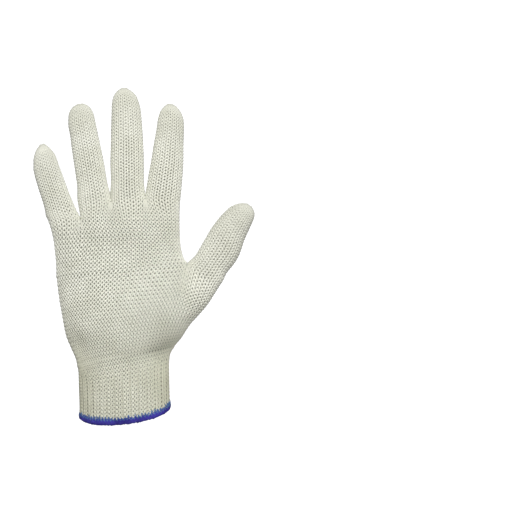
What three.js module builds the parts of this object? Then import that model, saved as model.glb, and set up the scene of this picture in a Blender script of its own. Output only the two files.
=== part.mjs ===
// Knitted cotton work glove for a right hand, filled out as worn.
// Sizes are millimetres. +Z runs from the wrist to the fingertips, the palm faces -Y and the
// thumb points to +X. The origin is the centre of the wrist opening, in the plane of its hem.
import * as THREE from 'three';
import { mergeVertices } from 'three/addons/utils/BufferGeometryUtils.js';

// Main sizes
const PALM_WIDTH = 89;
const PALM_DEPTH = 28;
const HAND_LENGTH = 100;
const CUFF_WIDTH = 65;
const CUFF_DEPTH = 45;
const CUFF_TOP = 43.7;
const FABRIC = 1.8;
const GAP = 0.3;
const NECK = 1.4;

// The wrist opening slants: its rises per millimetre along X and Y, and how far its two sides
// curl up, as a share of the way from the middle to the side.
const RIM_RISE_ACROSS = 0.095;
const RIM_RISE_DEPTH = 0.27;
const RIM_CURVE = 0.02;

// Hem: an overlocked edge round the wrist opening
const HEM_HEIGHT = 4.4;
const HEM_THICKNESS = 3.4;

// Ribs of the cuff
const RIB_COUNT = 29;
const RIB_RISE = 0.5;

// Rounding of the cloth between two fingers, and between the index finger and the thumb
const FINGER_WEB = 9;
const THUMB_WEB = 22;

// Heights of the two parts of the hand: from the finger line to the thumb line, and from there
// to the cuff
const UPPER_HEIGHT = 0.42 * HAND_LENGTH;
const LOWER_HEIGHT = 0.60 * HAND_LENGTH;

// How many strips of faces each piece gets
const FINGER_COLUMNS = 6;
const STALL_COLUMNS = 8;
const STALL_ROWS = 13;
const UPPER_ROWS = 8;
const LOWER_ROWS = 10;
const CUFF_ROWS = 3;
const HEM_COLUMNS = 64;

// The points where the stalls meet the hand, from the little finger to the index finger.
// across is a share of PALM_WIDTH, up a share of HAND_LENGTH above the cuff.
const FINGER_LINE = [
  { name: 'outer side of the little finger', across: -0.606, up: 0.925 },
  { name: 'little to ring', across: -0.354, up: 0.944 },
  { name: 'ring to middle', across: -0.110, up: 1.065 },
  { name: 'middle to index', across: 0.161, up: 1.086 },
  { name: 'outer side of the index finger', across: 0.437, up: 1.022 },
];
const THUMB_LINE = [
  { name: 'far edge of the hand', across: -0.553, up: 0.603 },
  { name: 'index to thumb', across: 0.502, up: 0.626 },
  { name: 'outer side of the thumb', across: 0.747, up: 0.468 },
];

// Edges of the hand between the finger line (down 0) and the thumb line (down 1).
// left and right are shares of PALM_WIDTH.
const UPPER_EDGES = [
  { down: 0.00, left: -0.606, right: 0.437 },
  { down: 0.20, left: -0.584, right: 0.438 },
  { down: 0.40, left: -0.569, right: 0.440 },
  { down: 0.70, left: -0.560, right: 0.451 },
  { down: 0.85, left: -0.556, right: 0.465 },
  { down: 0.93, left: -0.554, right: 0.479 },
  { down: 1.00, left: -0.553, right: 0.502 },
];

// Edges of the hand between the thumb line (down 0) and the cuff (down 1).
const LOWER_EDGES = [
  { down: 0.00, left: -0.553, right: 0.747 },
  { down: 0.15, left: -0.547, right: 0.704 },
  { down: 0.27, left: -0.536, right: 0.671 },
  { down: 0.39, left: -0.524, right: 0.629 },
  { down: 0.52, left: -0.507, right: 0.577 },
  { down: 0.64, left: -0.492, right: 0.528 },
  { down: 0.76, left: -0.475, right: 0.480 },
  { down: 0.88, left: -0.448, right: 0.439 },
  { down: 1.00, left: -0.419, right: 0.385 },
];

// Cross sections of the hand. up is a share of HAND_LENGTH, front and back are shares of
// PALM_DEPTH, square is the power of the oval.
const HAND_SECTIONS = [
  { up: 0.00, front: 0.76, back: 0.76, square: 2.0 },
  { up: 0.10, front: 0.73, back: 0.71, square: 2.0 },
  { up: 0.25, front: 0.64, back: 0.60, square: 2.1 },
  { up: 0.45, front: 0.55, back: 0.50, square: 2.3 },
  { up: 0.65, front: 0.49, back: 0.44, square: 2.4 },
  { up: 0.85, front: 0.43, back: 0.41, square: 2.5 },
  { up: 1.10, front: 0.38, back: 0.39, square: 2.6 },
];

// Swellings and dents of the hand. across and wide are shares of PALM_WIDTH, up and tall of
// HAND_LENGTH, rise of PALM_DEPTH. face is -1 on the palm and 1 on the back.
const SWELLINGS = [
  { name: 'ball of the thumb', face: -1, across: 0.30, up: 0.36, wide: 0.24, tall: 0.24, rise: 0.28 },
  { name: 'heel of the palm', face: -1, across: -0.30, up: 0.30, wide: 0.18, tall: 0.30, rise: 0.10 },
  { name: 'hollow of the palm', face: -1, across: -0.04, up: 0.62, wide: 0.22, tall: 0.22, rise: -0.12 },
  { name: 'pads under the fingers', face: -1, across: -0.08, up: 0.92, wide: 0.42, tall: 0.10, rise: 0.08 },
  { name: 'fold over the cuff', face: -1, across: 0.33, up: 0.09, wide: 0.13, tall: 0.09, rise: -0.20 },
  { name: 'fold at the far edge', face: -1, across: -0.34, up: 0.05, wide: 0.10, tall: 0.06, rise: -0.08 },
  { name: 'back of the thumb root', face: 1, across: 0.42, up: 0.42, wide: 0.24, tall: 0.22, rise: 0.12 },
  { name: 'little knuckle', face: 1, across: -0.44, up: 0.84, wide: 0.10, tall: 0.10, rise: 0.06 },
  { name: 'ring knuckle', face: 1, across: -0.21, up: 0.92, wide: 0.10, tall: 0.10, rise: 0.09 },
  { name: 'middle knuckle', face: 1, across: 0.02, up: 0.96, wide: 0.10, tall: 0.10, rise: 0.11 },
  { name: 'index knuckle', face: 1, across: 0.27, up: 0.92, wide: 0.11, tall: 0.10, rise: 0.09 },
];

// The five stalls. tip_across and tip_up place the tip like FINGER_LINE. width is a share of
// PALM_WIDTH and depth of PALM_DEPTH, and the rows' wide, shift and deep are shares of them. up
// is a share of the stall's length. forward is how far the tip stands out to the palm side, in
// stall lengths.
const STALL_TABLE = [
  {
    name: 'little_finger', line: FINGER_LINE, at: 0, tip_across: -0.651, tip_up: 1.479,
    width: 0.239, depth: 0.664, forward: 0.14, tip_from: 0.72,
    rows: [
      { up: 0.05, shift: -0.042, wide: 1.000, deep: 1.00 },
      { up: 0.15, shift: -0.050, wide: 0.998, deep: 0.99 },
      { up: 0.30, shift: -0.066, wide: 0.956, deep: 0.96 },
      { up: 0.50, shift: -0.090, wide: 0.938, deep: 0.91 },
      { up: 0.70, shift: -0.098, wide: 0.900, deep: 0.85 },
      { up: 0.80, shift: -0.068, wide: 0.824, deep: 0.82 },
      { up: 0.85, shift: -0.058, wide: 0.763, deep: 0.80 },
      { up: 0.90, shift: -0.050, wide: 0.640, deep: 0.79 },
      { up: 0.93, shift: -0.038, wide: 0.545, deep: 0.78 },
      { up: 0.96, shift: -0.028, wide: 0.390, deep: 0.77 },
      { up: 0.98, shift: -0.012, wide: 0.270, deep: 0.76 },
      { up: 1.00, shift: 0.000, wide: 0.170, deep: 0.76 },
    ],
  },
  {
    name: 'ring_finger', line: FINGER_LINE, at: 1, tip_across: -0.348, tip_up: 1.763,
    width: 0.248, depth: 0.714, forward: 0.13, tip_from: 0.80,
    rows: [
      { up: 0.10, shift: 0.008, wide: 1.040, deep: 1.00 },
      { up: 0.20, shift: 0.007, wide: 0.991, deep: 0.98 },
      { up: 0.40, shift: -0.001, wide: 0.972, deep: 0.94 },
      { up: 0.60, shift: -0.020, wide: 0.941, deep: 0.89 },
      { up: 0.70, shift: -0.026, wide: 0.915, deep: 0.86 },
      { up: 0.80, shift: -0.040, wide: 0.910, deep: 0.83 },
      { up: 0.90, shift: -0.028, wide: 0.846, deep: 0.80 },
      { up: 0.93, shift: -0.028, wide: 0.775, deep: 0.79 },
      { up: 0.96, shift: -0.016, wide: 0.670, deep: 0.78 },
      { up: 0.98, shift: -0.012, wide: 0.490, deep: 0.77 },
      { up: 1.00, shift: 0.000, wide: 0.220, deep: 0.76 },
    ],
  },
  {
    name: 'middle_finger', line: FINGER_LINE, at: 2, tip_across: 0.001, tip_up: 1.875,
    width: 0.271, depth: 0.736, forward: 0.12, tip_from: 0.79,
    rows: [
      { up: 0.10, shift: -0.011, wide: 0.973, deep: 1.00 },
      { up: 0.20, shift: -0.002, wide: 0.982, deep: 0.99 },
      { up: 0.35, shift: 0.006, wide: 1.000, deep: 0.96 },
      { up: 0.50, shift: 0.022, wide: 0.975, deep: 0.92 },
      { up: 0.70, shift: 0.032, wide: 0.925, deep: 0.86 },
      { up: 0.80, shift: 0.035, wide: 0.886, deep: 0.83 },
      { up: 0.85, shift: 0.027, wide: 0.850, deep: 0.81 },
      { up: 0.90, shift: 0.017, wide: 0.775, deep: 0.80 },
      { up: 0.93, shift: 0.013, wide: 0.705, deep: 0.79 },
      { up: 0.96, shift: 0.002, wide: 0.560, deep: 0.78 },
      { up: 0.98, shift: -0.008, wide: 0.400, deep: 0.77 },
      { up: 1.00, shift: 0.000, wide: 0.190, deep: 0.76 },
    ],
  },
  {
    name: 'index_finger', line: FINGER_LINE, at: 3, tip_across: 0.367, tip_up: 1.762,
    width: 0.282, depth: 0.729, forward: 0.14, tip_from: 0.76,
    rows: [
      { up: 0.05, shift: 0.010, wide: 1.004, deep: 1.00 },
      { up: 0.20, shift: 0.028, wide: 0.994, deep: 0.98 },
      { up: 0.30, shift: 0.038, wide: 0.968, deep: 0.96 },
      { up: 0.40, shift: 0.050, wide: 0.940, deep: 0.94 },
      { up: 0.60, shift: 0.050, wide: 0.858, deep: 0.88 },
      { up: 0.75, shift: 0.060, wide: 0.803, deep: 0.84 },
      { up: 0.85, shift: 0.054, wide: 0.765, deep: 0.81 },
      { up: 0.90, shift: 0.048, wide: 0.691, deep: 0.80 },
      { up: 0.93, shift: 0.036, wide: 0.610, deep: 0.79 },
      { up: 0.96, shift: 0.028, wide: 0.490, deep: 0.78 },
      { up: 0.98, shift: 0.024, wide: 0.360, deep: 0.76 },
      { up: 1.00, shift: 0.000, wide: 0.170, deep: 0.75 },
    ],
  },
  {
    name: 'thumb', line: THUMB_LINE, at: 1, tip_across: 1.000, tip_up: 1.047,
    width: 0.308, depth: 0.843, forward: 0.20, tip_from: 0.74,
    rows: [
      { up: 0.05, shift: 0.020, wide: 0.950, deep: 1.00 },
      { up: 0.10, shift: 0.021, wide: 0.920, deep: 0.99 },
      { up: 0.20, shift: 0.016, wide: 0.936, deep: 0.98 },
      { up: 0.30, shift: 0.019, wide: 0.978, deep: 0.96 },
      { up: 0.40, shift: 0.013, wide: 0.990, deep: 0.94 },
      { up: 0.50, shift: -0.013, wide: 0.965, deep: 0.91 },
      { up: 0.60, shift: -0.042, wide: 0.901, deep: 0.88 },
      { up: 0.70, shift: -0.052, wide: 0.847, deep: 0.84 },
      { up: 0.80, shift: -0.046, wide: 0.772, deep: 0.81 },
      { up: 0.85, shift: -0.042, wide: 0.735, deep: 0.79 },
      { up: 0.90, shift: -0.024, wide: 0.655, deep: 0.78 },
      { up: 0.94, shift: -0.008, wide: 0.550, deep: 0.76 },
      { up: 0.97, shift: 0.000, wide: 0.420, deep: 0.74 },
      { up: 1.00, shift: 0.000, wide: 0.190, deep: 0.72 },
    ],
  },
];

const STALLS = STALL_TABLE.map((stall) => ({
  ...stall,
  width: stall.width * PALM_WIDTH,
  depth: stall.depth * PALM_DEPTH,
}));

// Rings of the cuff. up is a share of its height, shift and wide are shares of CUFF_WIDTH and
// deep is a share of CUFF_DEPTH.
const CUFF_RINGS = [
  { up: 0.00, shift: -0.002, wide: 0.985, deep: 1.00 },
  { up: 0.20, shift: -0.004, wide: 0.985, deep: 1.00 },
  { up: 0.50, shift: -0.011, wide: 0.990, deep: 0.99 },
  { up: 0.80, shift: -0.022, wide: 1.010, deep: 0.97 },
  { up: 0.92, shift: -0.026, wide: 1.040, deep: 0.96 },
  { up: 1.00, shift: -0.027, wide: 1.076, deep: 0.95 },
];

// Smooth value of one column of a table at a place along its key column.
function valueAt(rows, key, column, place) {
  const last = rows.length - 1;
  const along = Math.min(Math.max(place, rows[0][key]), rows[last][key]);
  let i = 0;
  while (i < last - 1 && along > rows[i + 1][key]) i += 1;
  const slope = (a, b) => (rows[b][column] - rows[a][column]) / (rows[b][key] - rows[a][key]);
  const span = rows[i + 1][key] - rows[i][key];
  const start = slope(Math.max(i - 1, 0), i + 1);
  const end = slope(i, Math.min(i + 2, last));
  const s = (along - rows[i][key]) / span;
  const s2 = s * s;
  const s3 = s2 * s;
  return rows[i][column] * (2 * s3 - 3 * s2 + 1) + rows[i + 1][column] * (3 * s2 - 2 * s3)
    + span * (start * (s3 - 2 * s2 + s) + end * (s3 - s2));
}

function mix(a, b, share) {
  return a + (b - a) * share;
}

function easeIn(share) {
  const s = Math.min(Math.max(share, 0), 1);
  return s * s * (3 - 2 * s);
}

// Half an oval walked at an even pace: share 0 is its left end and 1 its right end. It gives the
// place across, from -1 to 1, and the depth, from 0 to 1.
function oval(share, halfWidth, depth, power) {
  const steps = 96;
  const points = [];
  let length = 0;
  for (let i = 0; i <= steps; i += 1) {
    const angle = Math.PI * (1 - i / steps);
    const cosine = Math.cos(angle);
    const across = Math.sign(cosine) * Math.abs(cosine) ** (2 / power);
    const out = Math.max(Math.sin(angle), 0) ** (2 / power);
    if (i > 0) {
      const before = points[i - 1];
      length += Math.hypot((across - before.across) * halfWidth, (out - before.out) * depth);
    }
    points.push({ across, out, length });
  }
  const wanted = share * length;
  let i = 1;
  while (i < steps && points[i].length < wanted) i += 1;
  const a = points[i - 1];
  const b = points[i];
  const s = Math.min(Math.max((wanted - a.length) / (b.length - a.length), 0), 1);
  return { across: mix(a.across, b.across, s), out: mix(a.out, b.out, s) };
}

function placeOf(point) {
  return { x: point.across * PALM_WIDTH, z: CUFF_TOP + point.up * HAND_LENGTH };
}

// The line at which a stall stands on the hand, shortened by half a neck and the inset.
function baseOf(stall, inset) {
  const left = placeOf(stall.line[stall.at]);
  const right = placeOf(stall.line[stall.at + 1]);
  const length = Math.hypot(right.x - left.x, right.z - left.z);
  const across = { x: (right.x - left.x) / length, z: (right.z - left.z) / length };
  return {
    middle: { x: (left.x + right.x) / 2, z: (left.z + right.z) / 2 },
    across,
    half: length / 2 - NECK / 2 - inset,
    depth: stall.depth / 2 - inset,
    yLeft: chordY(stall.line, stall.at),
    yRight: chordY(stall.line, stall.at + 1),
  };
}

// The thumb's side of the hand stands forward of the far edge.
function chordY(line, place) {
  if (line === THUMB_LINE) return -0.20 * PALM_DEPTH * easeIn(place - 0.7);
  return -0.03 * PALM_DEPTH * Math.abs(place - 2);
}

// A point of a stall: share 0 to 1 goes round from its left side over the palm side, and 1 to 2
// back over the back. up is a share of its length.
function stallPoint(stall, turn, up, inset) {
  const base = baseOf(stall, inset);
  const tip = placeOf({ across: stall.tip_across, up: stall.tip_up });
  const full = Math.hypot(tip.x - base.middle.x, tip.z - base.middle.z);
  const axis = { x: (tip.x - base.middle.x) / full, z: (tip.z - base.middle.z) / full };
  const square = { x: axis.z, z: -axis.x };
  const shift = valueAt(stall.rows, 'up', 'shift', up) * stall.width * easeIn(up / 0.1);
  const round = Math.max((up - stall.tip_from) / (1 - stall.tip_from), 0);
  const wide = Math.max(valueAt(stall.rows, 'up', 'wide', up) * stall.width / 2 - inset, 0.5);
  const deep = (valueAt(stall.rows, 'up', 'deep', up) * stall.depth / 2 - inset)
    * Math.sqrt(Math.max(1 - round * round, 0));
  const turned = easeIn(up / 0.2);
  const half = mix(base.half, wide, turned);
  const direction = {
    x: mix(base.across.x, square.x, turned),
    z: mix(base.across.z, square.z, turned),
  };
  const length = Math.hypot(direction.x, direction.z);
  const angle = Math.PI * (1 - turn);
  const across = Math.cos(angle) * half / length;
  const along = GAP + up * (full - GAP - inset);
  const depth = mix(base.depth, deep, turned);
  const middleY = (base.yLeft + base.yRight) / 2;
  const chord = mix(mix(base.yLeft, base.yRight, (Math.cos(angle) + 1) / 2), middleY, turned);
  return new THREE.Vector3(
    base.middle.x + axis.x * along + square.x * shift + direction.x * across,
    chord - stall.forward * full * up ** 1.6 - Math.sin(angle) * depth,
    base.middle.z + axis.z * along + square.z * shift + direction.z * across,
  );
}

// A plain point of the hand, before the finger and thumb openings pull at it. share runs from
// its left edge to its right edge, down from the top line of its part to the bottom one.
function sectionPoint(part, face, share, down, inset) {
  const line = part === 'upper' ? FINGER_LINE : THUMB_LINE;
  const edges = part === 'upper' ? UPPER_EDGES : LOWER_EDGES;
  const topLeft = placeOf(line[0]).z;
  const topRight = placeOf(line[line.length - 1]).z;
  const thumb = THUMB_LINE.map(placeOf);
  const bottomLeft = part === 'upper' ? thumb[0].z : CUFF_TOP;
  const bottomRight = part === 'upper' ? thumb[1].z : CUFF_TOP;
  const left = valueAt(edges, 'down', 'left', down) * PALM_WIDTH + inset;
  const right = valueAt(edges, 'down', 'right', down) * PALM_WIDTH - inset;
  const leftZ = mix(topLeft, bottomLeft, down);
  const rightZ = mix(topRight, bottomRight, down);
  const up = (mix(leftZ, rightZ, share) - CUFF_TOP) / HAND_LENGTH;
  const column = face < 0 ? 'front' : 'back';
  const depth = valueAt(HAND_SECTIONS, 'up', column, up) * PALM_DEPTH - inset;
  const power = valueAt(HAND_SECTIONS, 'up', 'square', up);
  const half = (right - left) / 2;
  const round = oval(share, half, depth, power);
  const crotch = part === 'upper' ? share ** 8 * down ** 6 : 0;
  const x = (left + right) / 2 + half * round.across - crotch * NECK / 2;
  const z = mix(leftZ, rightZ, (round.across + 1) / 2) - crotch * inset;
  const forward = part === 'upper'
    ? mix(chordY(line, mix(0, 4, share)), chordY(THUMB_LINE, share), down)
    : chordY(line, share * 2) * (1 - down);
  return { x, y: forward, z, depth: depth * round.out + swell(face, x, z, round.out) };
}

function swell(face, x, z, out) {
  let rise = 0;
  SWELLINGS.forEach((swelling) => {
    if (swelling.face !== face) return;
    const across = (x / PALM_WIDTH - swelling.across) / swelling.wide;
    const up = ((z - CUFF_TOP) / HAND_LENGTH - swelling.up) / swelling.tall;
    rise += swelling.rise * PALM_DEPTH * Math.exp(-across * across - up * up);
  });
  return rise * Math.min(out * 1.6, 1);
}

// The rings that stand on the top line of a part of the hand. from and to are shares of its
// width, and outer tells which of its ends is an outer side and not a crotch.
function ringsOf(part) {
  if (part === 'upper') {
    return STALLS.slice(0, 4).map((stall, i) => ({
      stall, from: i / 4, to: (i + 1) / 4, outerLeft: i === 0, outerRight: i === 3,
    }));
  }
  return [
    { stall: null, from: 0, to: 0.8, outerLeft: true, outerRight: false },
    { stall: STALLS[4], from: 0.8, to: 1, outerLeft: false, outerRight: true },
  ];
}

// A point of a ring on the top line: share 0 to 1 across it.
function ringPoint(part, face, ring, share, inset) {
  if (!ring.stall) return sectionPoint('upper', face, share, 1, inset);
  const base = baseOf(ring.stall, inset);
  const angle = Math.PI * (1 - share);
  const across = Math.cos(angle);
  const inner = (across < 0 ? !ring.outerLeft : !ring.outerRight) ? Math.abs(across) ** 6 : 0;
  return {
    x: base.middle.x + base.across.x * across * base.half,
    y: mix(base.yLeft, base.yRight, (across + 1) / 2),
    z: base.middle.z + base.across.z * across * base.half - inner * inset,
    depth: Math.sin(angle) * base.depth,
  };
}

// A point of the hand's surface. The ring's own shape fades out below the top line: at once and
// round in the crotches, slowly in the middle of a finger.
function handPoint(part, face, ringIndex, share, down, inset) {
  const rings = ringsOf(part);
  const ring = rings[ringIndex];
  const margin = 0.012;
  const width = ring.to - ring.from;
  const ends = { from: ring.outerLeft ? 0 : margin, to: ring.outerRight ? 1 : 1 - margin };
  const even = ring.from + width * mix(ends.from, ends.to, share);
  const plain = sectionPoint(part, face, even, down, inset);
  const top = sectionPoint(part, face, even, 0, inset);
  const wanted = ringPoint(part, face, ring, share, inset);
  const startRing = ringPoint(part, face, ring, 0, inset);
  const endRing = ringPoint(part, face, ring, 1, inset);
  const startTop = sectionPoint(part, face, ring.from + width * ends.from, 0, inset);
  const endTop = sectionPoint(part, face, ring.from + width * ends.to, 0, inset);
  const pull = {
    x: mix(startRing.x - startTop.x, endRing.x - endTop.x, share),
    z: mix(startRing.z - startTop.z, endRing.z - endTop.z, share),
  };
  const own = { x: wanted.x - top.x - pull.x, z: wanted.z - top.z - pull.z };
  const height = part === 'upper' ? UPPER_HEIGHT : LOWER_HEIGHT;
  const radius = part === 'upper' ? FINGER_WEB : THUMB_WEB;
  const below = down * height;
  const web = (reach) => {
    const s = Math.max(1 - below / reach, 0);
    return 1 - Math.sqrt(Math.max(1 - s * s, 0));
  };
  const fade = (reach) => 1 - easeIn(below / reach);
  const sideways = Math.sin(Math.PI * Math.min(Math.max(share, 0), 1));
  const crotch = (share < 0.5 ? !ring.outerLeft : !ring.outerRight) ? (1 - sideways) ** 0.5 : 0;
  const keep = mix(fade(radius * 1.8), web(radius - inset), crotch);
  const slow = (1 - down) ** 1.5;
  const soft = fade(radius * 2.4);
  const x = plain.x + pull.x * slow + own.x * soft;
  const z = plain.z + pull.z * slow + own.z * soft;
  const depth = mix(plain.depth, wanted.depth, keep);
  const forward = mix(plain.y, wanted.y, soft);
  return { x, y: forward + face * depth, z };
}

// Collects the corners and faces of one closed body.
class Body {
  constructor() {
    this.corners = [];
    this.faces = [];
  }

  add(point) {
    this.corners.push(point.x, point.y, point.z);
    return this.corners.length / 3 - 1;
  }

  quad(a, b, c, d) {
    this.faces.push(a, b, c, a, c, d);
  }

  // Faces between two lists of corners of the same length.
  strip(first, second, closed) {
    const count = first.length;
    for (let i = 0; i < count - (closed ? 0 : 1); i += 1) {
      const j = (i + 1) % count;
      this.quad(first[i], first[j], second[j], second[i]);
    }
  }

  mesh(name, colour) {
    const geometry = new THREE.BufferGeometry();
    geometry.setAttribute('position', new THREE.Float32BufferAttribute(this.corners, 3));
    geometry.setIndex(this.faces);
    const merged = mergeVertices(geometry, 1e-4);
    const kept = [];
    const index = merged.getIndex().array;
    for (let i = 0; i < index.length; i += 3) {
      const [a, b, c] = [index[i], index[i + 1], index[i + 2]];
      if (a !== b && b !== c && a !== c) kept.push(a, b, c);
    }
    merged.setIndex(kept);
    if (volumeOf(merged) < 0) {
      for (let i = 0; i < kept.length; i += 3) [kept[i], kept[i + 1]] = [kept[i + 1], kept[i]];
      merged.setIndex(kept);
    }
    merged.computeVertexNormals();
    const material = new THREE.MeshStandardMaterial({ color: colour, roughness: 0.95 });
    const mesh = new THREE.Mesh(merged, material);
    mesh.name = name;
    return mesh;
  }
}

function volumeOf(geometry) {
  const position = geometry.getAttribute('position');
  const index = geometry.getIndex().array;
  const [a, b, c] = [new THREE.Vector3(), new THREE.Vector3(), new THREE.Vector3()];
  let volume = 0;
  for (let i = 0; i < index.length; i += 3) {
    a.fromBufferAttribute(position, index[i]);
    b.fromBufferAttribute(position, index[i + 1]);
    c.fromBufferAttribute(position, index[i + 2]);
    volume += a.dot(b.cross(c)) / 6;
  }
  return volume;
}

// One stall: an outer and an inner skin, joined by a ring at the base and each closed at the
// tip along a line.
function makeStall(stall) {
  const body = new Body();
  const sides = STALL_COLUMNS * 2;
  const skins = [0, FABRIC].map((inset) => {
    const rings = [];
    for (let row = 0; row < STALL_ROWS; row += 1) {
      const even = row / (STALL_ROWS - 1);
      const up = row === STALL_ROWS - 1 ? 1 : 1 - (1 - even) ** 1.6;
      const ring = [];
      for (let side = 0; side < sides; side += 1) {
        ring.push(body.add(stallPoint(stall, side / STALL_COLUMNS, up, inset)));
      }
      rings.push(ring);
    }
    return rings;
  });
  const [outer, inner] = skins;
  for (let row = 0; row < STALL_ROWS - 1; row += 1) {
    body.strip(outer[row], outer[row + 1], true);
    body.strip(inner[row + 1], inner[row], true);
  }
  body.strip(inner[0], outer[0], true);
  return body.mesh(stall.name, 0xd6d6c8);
}

// The hand: an outer and an inner skin. Each has a palm side and a back that meet at the edges
// and in the crotches, and rings join the two skins at the stalls and at the cuff.
function makeHand() {
  const body = new Body();
  const openings = [];
  const bottoms = [];
  [0, FABRIC].forEach((inset, skin) => {
    const faces = [-1, 1].map((face) => {
      const grid = { upper: [], lower: [] };
      ['upper', 'lower'].forEach((part) => {
        const rows = part === 'upper' ? UPPER_ROWS : LOWER_ROWS;
        for (let row = 0; row <= rows; row += 1) {
          const down = (row / rows) ** 1.5;
          const line = [];
          ringsOf(part).forEach((ring, ringIndex) => {
            const count = ring.stall ? FINGER_COLUMNS : 4 * (FINGER_COLUMNS + 1) - 1;
            for (let i = 0; i <= count; i += 1) {
              const share = i / count;
              const seen = ring.stall ? share : upperShare(i);
              line.push(body.add(handPoint(part, face, ringIndex, seen, down, inset)));
            }
          });
          grid[part].push(line);
        }
      });
      return grid;
    });
    const palm = faces[0];
    const back = faces[1];
    [palm, back].forEach((grid, side) => {
      ['upper', 'lower'].forEach((part) => {
        for (let row = 0; row < grid[part].length - 1; row += 1) {
          const above = grid[part][row];
          const below = grid[part][row + 1];
          if ((side + skin) % 2 === 0) body.strip(below, above, false);
          else body.strip(above, below, false);
        }
      });
    });
    const step = FINGER_COLUMNS + 1;
    const rings = [];
    for (let finger = 0; finger < 4; finger += 1) {
      const from = finger * step;
      const front = palm.upper[0].slice(from, from + step);
      const rear = back.upper[0].slice(from, from + step).reverse().slice(1, -1);
      rings.push([...front, ...rear]);
    }
    const front = palm.lower[0].slice(4 * step);
    const rear = back.lower[0].slice(4 * step).reverse().slice(1, -1);
    rings.push([...front, ...rear]);
    openings.push(rings);
    const last = palm.lower.length - 1;
    bottoms.push([...palm.lower[last], ...[...back.lower[last]].reverse().slice(1, -1)]);
  });
  openings[0].forEach((ring, i) => body.strip(ring, openings[1][i], true));
  body.strip(bottoms[1], bottoms[0], true);
  return body.mesh('hand', 0xcfcfc1);
}

// The columns of the lower part follow those of the upper part.
function upperShare(i) {
  const finger = Math.floor(i / (FINGER_COLUMNS + 1));
  const share = (i - finger * (FINGER_COLUMNS + 1)) / FINGER_COLUMNS;
  const margin = 0.012;
  const from = finger === 0 ? 0 : margin;
  const to = finger === 3 ? 1 : 1 - margin;
  return (finger + mix(from, to, share)) / 4;
}

function rimAt(x, y) {
  const side = x / (CUFF_WIDTH / 2);
  return RIM_RISE_ACROSS * x + RIM_RISE_DEPTH * y + RIM_CURVE * x * side;
}

// A point of the cuff or hem: turn 0 to 1 goes round it.
function cuffPoint(turn, up, inset) {
  const angle = 2 * Math.PI * turn;
  const half = valueAt(CUFF_RINGS, 'up', 'wide', up) * CUFF_WIDTH / 2 - inset;
  const depth = valueAt(CUFF_RINGS, 'up', 'deep', up) * CUFF_DEPTH / 2 - inset;
  const x = valueAt(CUFF_RINGS, 'up', 'shift', up) * CUFF_WIDTH + half * Math.cos(angle);
  const y = depth * Math.sin(angle);
  return { x, y };
}

function makeCuff() {
  const body = new Body();
  const sides = RIB_COUNT * 4;
  const grids = [0, FABRIC].map((inset) => {
    const rings = [];
    for (let row = 0; row <= CUFF_ROWS + 1; row += 1) {
      const up = row / (CUFF_ROWS + 1);
      const ring = [];
      for (let side = 0; side < sides; side += 1) {
        const sunk = inset === 0 && side % 4 > 1 ? RIB_RISE : 0;
        const point = cuffPoint(side / sides, up, inset + sunk);
        const rim = cuffPoint(side / sides, 0, FABRIC / 2);
        const low = rimAt(rim.x, rim.y) + HEM_HEIGHT + GAP;
        ring.push(body.add({ ...point, z: mix(low, CUFF_TOP - GAP, up) }));
      }
      rings.push(ring);
    }
    return rings;
  });
  const [outer, inner] = grids;
  for (let row = 0; row < outer.length - 1; row += 1) {
    body.strip(outer[row], outer[row + 1], true);
    body.strip(inner[row + 1], inner[row], true);
  }
  const last = outer.length - 1;
  body.strip(outer[last], inner[last], true);
  body.strip(inner[0], outer[0], true);
  return body.mesh('rib_cuff', 0xc8c7b4);
}

function makeHem() {
  const body = new Body();
  const outline = [
    [-0.5, 0.25], [-0.5, 0.75], [-0.25, 1], [0.25, 1],
    [0.5, 0.75], [0.5, 0.25], [0.25, 0], [-0.25, 0],
  ];
  const rings = [];
  for (let side = 0; side < HEM_COLUMNS; side += 1) {
    const turn = side / HEM_COLUMNS;
    rings.push(outline.map(([out, up]) => {
      const point = cuffPoint(turn, 0, FABRIC / 2 - out * HEM_THICKNESS);
      const middle = cuffPoint(turn, 0, FABRIC / 2);
      return body.add({ ...point, z: rimAt(middle.x, middle.y) + up * HEM_HEIGHT });
    }));
  }
  for (let side = 0; side < HEM_COLUMNS; side += 1) {
    body.strip(rings[side], rings[(side + 1) % HEM_COLUMNS], true);
  }
  return body.mesh('overlock_hem', 0x3c4190);
}

const glove = new THREE.Group();
glove.name = 'cotton_work_glove';
glove.add(makeHem());
glove.add(makeCuff());
glove.add(makeHand());
STALLS.forEach((stall) => glove.add(makeStall(stall)));

export default glove;
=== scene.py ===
import math

import bpy
import numpy as np
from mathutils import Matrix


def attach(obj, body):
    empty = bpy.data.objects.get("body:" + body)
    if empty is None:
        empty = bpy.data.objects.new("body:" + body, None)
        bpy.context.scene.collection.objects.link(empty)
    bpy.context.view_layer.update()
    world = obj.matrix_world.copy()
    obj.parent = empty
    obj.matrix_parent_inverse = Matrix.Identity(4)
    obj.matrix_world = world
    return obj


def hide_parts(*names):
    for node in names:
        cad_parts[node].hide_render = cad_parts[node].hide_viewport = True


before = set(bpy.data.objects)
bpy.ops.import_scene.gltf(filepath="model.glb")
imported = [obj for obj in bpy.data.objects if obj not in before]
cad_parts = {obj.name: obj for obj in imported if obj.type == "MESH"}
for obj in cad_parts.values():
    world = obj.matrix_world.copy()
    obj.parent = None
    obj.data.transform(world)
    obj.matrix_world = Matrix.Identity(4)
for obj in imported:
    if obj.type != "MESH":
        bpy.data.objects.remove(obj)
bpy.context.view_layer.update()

# Studio: a lit white panel stands far behind the glove, so that no shadow falls on it. The
# camera looks square at the palm, and three large soft lamps light the cloth.
MM = 0.001
PIXEL = 0.71 * MM
FRAME_PIXELS = 512
SENSOR_WIDTH = 36.0
VIEW_CENTRE = (93.0 * MM, 111.8 * MM)
CAMERA_DISTANCE = 1.2
BACKDROP_DISTANCE = 2.0
BACKDROP_HALF = 0.56
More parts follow.
